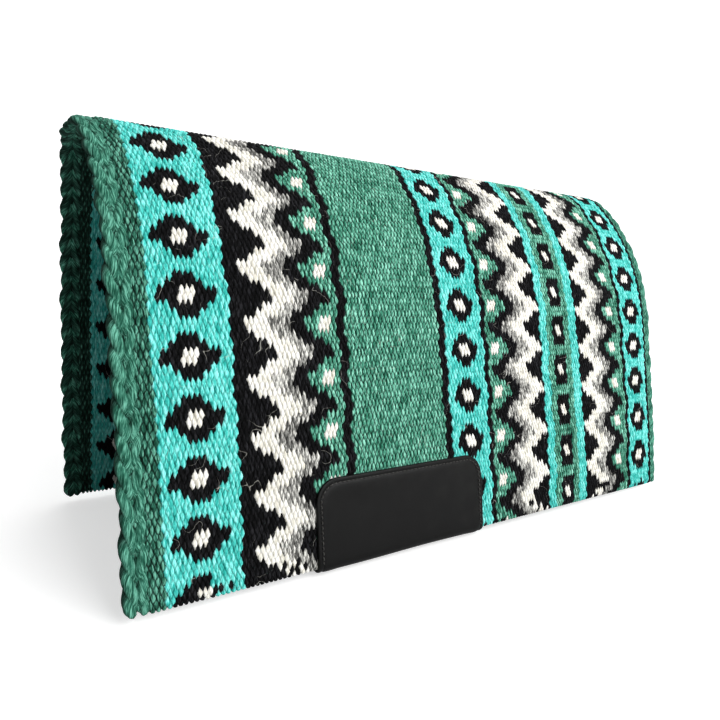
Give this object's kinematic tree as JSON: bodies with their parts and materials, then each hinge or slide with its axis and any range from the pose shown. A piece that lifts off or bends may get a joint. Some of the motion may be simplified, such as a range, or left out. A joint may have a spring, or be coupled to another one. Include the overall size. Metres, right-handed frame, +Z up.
{
  "type": "saddle pad",
  "caption": "Thick woven wool saddle blanket hung over its ridge, with patterned bands, twined cord ends and a wear leather folded round each hem.",
  "frame": {"origin": "middle of the flat under the ridge, where the blanket rests on the horse's back", "axes": "+X from the front end to the rear end along the spine, +Z up out of the saddle side, so -Y is the near (left) flank and +Y the off (right) flank"},
  "size_m": [0.762, 0.3814, 0.438],
  "materials": {
    "wool_green": "matt hand-woven wool weft, green",
    "wool_turquoise": "matt hand-woven wool weft, turquoise with black and cream figures",
    "wool_black": "matt hand-woven wool weft, black ground with cream, heather grey and green zigzags",
    "warp_cord": "plain spun cord, undyed",
    "wear_leather": "smooth black leather, satin",
    "stitch_thread": "waxed black thread"
  },
  "bodies": {
    "crown": {"front_border_crown": "wool_green", "front_diamond_band_crown": "wool_turquoise", "front_zigzag_band_crown": "wool_black", "centre_plain_band_crown": "wool_green", "middle_diamond_band_crown": "wool_turquoise", "middle_zigzag_band_crown": "wool_black", "square_band_crown": "wool_green", "rear_zigzag_band_crown": "wool_black", "rear_diamond_band_crown": "wool_turquoise", "front_edge_cord_crown": "wool_green", "rear_edge_cord_crown": "wool_green", "warp_crown": "warp_cord"},
    "near_flank": {"front_border_near_flank": "wool_green", "front_diamond_band_near_flank": "wool_turquoise", "front_zigzag_band_near_flank": "wool_black", "centre_plain_band_near_flank": "wool_green", "middle_diamond_band_near_flank": "wool_turquoise", "middle_zigzag_band_near_flank": "wool_black", "square_band_near_flank": "wool_green", "rear_zigzag_band_near_flank": "wool_black", "rear_diamond_band_near_flank": "wool_turquoise", "front_edge_cord_near_flank": "wool_green", "rear_edge_cord_near_flank": "wool_green", "warp_near_flank": "warp_cord", "near_wear_leather": "wear_leather", "near_leather_stitching": "stitch_thread"},
    "off_flank": {"front_border_off_flank": "wool_green", "front_diamond_band_off_flank": "wool_turquoise", "front_zigzag_band_off_flank": "wool_black", "centre_plain_band_off_flank": "wool_green", "middle_diamond_band_off_flank": "wool_turquoise", "middle_zigzag_band_off_flank": "wool_black", "square_band_off_flank": "wool_green", "rear_zigzag_band_off_flank": "wool_black", "rear_diamond_band_off_flank": "wool_turquoise", "front_edge_cord_off_flank": "wool_green", "rear_edge_cord_off_flank": "wool_green", "warp_off_flank": "warp_cord", "off_wear_leather": "wear_leather", "off_leather_stitching": "stitch_thread"}
  },
  "joints": [
    {"name": "near_flank_fold", "type": "hinge", "parent": "crown", "child": "near_flank", "pos_m": [0, -0.12172, -0.08281], "axis": [-1, 0, 0], "range_deg": [-26, 75]},
    {"name": "off_flank_fold", "type": "hinge", "parent": "crown", "child": "off_flank", "pos_m": [0, 0.12172, -0.08281], "axis": [1, 0, 0], "range_deg": [-26, 75]}
  ]
}
